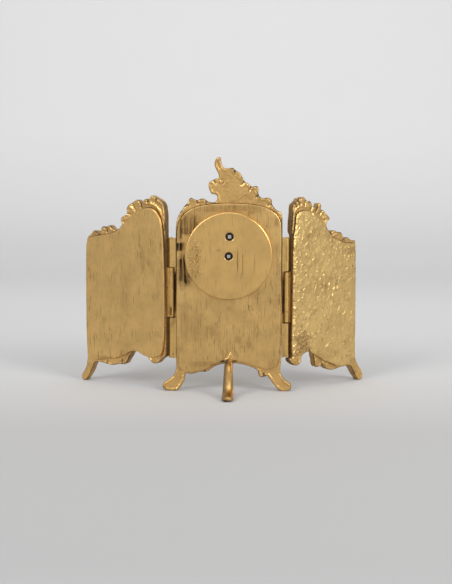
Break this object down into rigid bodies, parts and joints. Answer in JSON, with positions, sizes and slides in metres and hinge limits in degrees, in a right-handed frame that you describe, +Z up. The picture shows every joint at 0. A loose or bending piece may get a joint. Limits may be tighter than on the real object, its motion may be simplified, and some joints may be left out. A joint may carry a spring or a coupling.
{
  "type": "screen clock",
  "caption": "Small gilt-brass desk clock in the form of a three-leaf folding screen, with hinged wings, cabriole feet, a rear strut and a wound movement under a round cover.",
  "frame": {"origin": "on the table under the middle of the centre leaf, in the plane where its casting and back plate meet", "axes": "+Z up; -Y is the way the dial faces; +X is the right of a person facing the dial"},
  "size_m": [0.1672, 0.0732, 0.132],
  "materials": {
    "gilt_casting": "gilt satin with darker hollows",
    "gilt_back_plate": "brushed gilt with fine scratches and stains",
    "gilt_cover": "satin gilt with pits",
    "gilt_panel": "matt gilt, stippled ground",
    "gilt_bezel": "polished gilt",
    "hinge_brass": "worn gilt",
    "movement_brass": "grained brass",
    "wheel_brass": "polished brass",
    "steel": "polished steel",
    "pin_steel": "dull steel",
    "spring_steel": "spring steel",
    "blued_steel": "heat-blued steel",
    "enamel": "glossy cream enamel with black numerals",
    "glass": "clear domed glass"
  },
  "bodies": {
    "centre_leaf": {"centre_frame": "gilt_casting", "centre_back_plate": "gilt_back_plate", "centre_panel": "gilt_panel", "crest_rosette": "gilt_bezel", "rear_strut": "gilt_casting", "right_centre_hinge": "hinge_brass", "left_centre_hinge": "hinge_brass", "right_hinge_pin": "pin_steel", "left_hinge_pin": "pin_steel", "cover_seat": "movement_brass", "rear_cover": "gilt_cover", "movement_drum": "movement_brass", "flange_screws": "blued_steel", "bezel": "gilt_bezel", "sight_ring": "gilt_bezel", "glass": "glass", "dial": "enamel", "dial_pins": "movement_brass", "front_movement_plate": "movement_brass", "rear_movement_plate": "movement_brass", "pillars": "movement_brass", "pillar_screws": "blued_steel", "movement_clamps": "movement_brass", "clamp_screws": "blued_steel", "click_spring": "spring_steel", "click_screws": "blued_steel", "hairspring": "blued_steel", "balance_cock": "movement_brass", "cock_screw": "blued_steel"},
    "right_wing": {"right_wing_frame": "gilt_casting", "right_wing_back_plate": "gilt_back_plate", "right_wing_panel": "gilt_panel", "right_wing_hinge": "hinge_brass"},
    "left_wing": {"left_wing_frame": "gilt_casting", "left_wing_back_plate": "gilt_back_plate", "left_wing_panel": "gilt_panel", "left_wing_hinge": "hinge_brass"},
    "centre_train": {"centre_arbor": "steel", "centre_wheel": "wheel_brass", "cannon_pinion": "steel", "minute_hand": "blued_steel"},
    "going_barrel": {"barrel": "wheel_brass", "barrel_cover": "wheel_brass", "mainspring": "spring_steel"},
    "winding": {"winding_arbor": "steel", "ratchet_wheel": "steel"},
    "click": {"click": "steel"},
    "minute_wheel": {"minute_wheel": "wheel_brass"},
    "hour_motion": {"hour_wheel": "wheel_brass", "hour_hand": "blued_steel"},
    "third_train": {"third_wheel": "wheel_brass", "third_arbor": "steel"},
    "fourth_train": {"fourth_wheel": "wheel_brass", "fourth_arbor": "steel"},
    "escape_train": {"escape_wheel": "wheel_brass", "escape_arbor": "steel"},
    "lever": {"pallet_lever": "steel"},
    "balance": {"balance_wheel": "wheel_brass", "balance_staff": "steel"}
  },
  "joints": [
    {"name": "right_wing_fold", "type": "hinge", "parent": "centre_leaf", "child": "right_wing", "pos_m": [0.0324, -0.0025, 0], "axis": [0, 0, -1], "range_deg": [-30, 60]},
    {"name": "left_wing_fold", "type": "hinge", "parent": "centre_leaf", "child": "left_wing", "pos_m": [-0.0324, -0.0025, 0], "axis": [0, 0, 1], "range_deg": [-40, 50]},
    {"name": "minute_hand_turn", "type": "hinge", "parent": "centre_leaf", "child": "centre_train", "pos_m": [0, 0, 0.0773], "axis": [0, 1, 0], "continuous": true},
    {"name": "hour_hand_turn", "type": "hinge", "parent": "centre_leaf", "child": "hour_motion", "pos_m": [0, 0, 0.0773], "axis": [0, 1, 0], "continuous": true},
    {"name": "minute_wheel_turn", "type": "hinge", "parent": "centre_leaf", "child": "minute_wheel", "pos_m": [0.006, 0, 0.0773], "axis": [0, 1, 0], "continuous": true},
    {"name": "barrel_turn", "type": "hinge", "parent": "centre_leaf", "child": "going_barrel", "pos_m": [-0.0005, 0, 0.08821], "axis": [0, 1, 0], "continuous": true},
    {"name": "winding_turn", "type": "hinge", "parent": "centre_leaf", "child": "winding", "pos_m": [-0.0005, 0, 0.08821], "axis": [0, -1, 0], "range_deg": [0, 1800]},
    {"name": "click_lift", "type": "hinge", "parent": "centre_leaf", "child": "click", "pos_m": [-0.0067, 0, 0.09281], "axis": [0, 1, 0], "range_deg": [0, 9]},
    {"name": "third_wheel_turn", "type": "hinge", "parent": "centre_leaf", "child": "third_train", "pos_m": [-0.00631, 0, 0.07039], "axis": [0, 1, 0], "continuous": true},
    {"name": "fourth_wheel_turn", "type": "hinge", "parent": "centre_leaf", "child": "fourth_train", "pos_m": [0.00076, 0, 0.06631], "axis": [0, 1, 0], "continuous": true},
    {"name": "escape_wheel_turn", "type": "hinge", "parent": "centre_leaf", "child": "escape_train", "pos_m": [0.0073, 0, 0.06869], "axis": [0, 1, 0], "continuous": true},
    {"name": "lever_swing", "type": "hinge", "parent": "centre_leaf", "child": "lever", "pos_m": [0.00899, 0, 0.07275], "axis": [0, 1, 0], "range_deg": [-4, 4]},
    {"name": "balance_swing", "type": "hinge", "parent": "centre_leaf", "child": "balance", "pos_m": [0.0113, 0, 0.0783], "axis": [0, 1, 0], "range_deg": [-220, 220]}
  ],
  "couplings": [
    {"joint": "hour_hand_turn", "follows": "minute_hand_turn", "ratio": 0.083333},
    {"joint": "minute_wheel_turn", "follows": "minute_hand_turn", "ratio": -0.33333},
    {"joint": "barrel_turn", "follows": "minute_hand_turn", "ratio": -0.125},
    {"joint": "third_wheel_turn", "follows": "minute_hand_turn", "ratio": -8},
    {"joint": "fourth_wheel_turn", "follows": "minute_hand_turn", "ratio": 60},
    {"joint": "escape_wheel_turn", "follows": "minute_hand_turn", "ratio": -480}
  ]
}
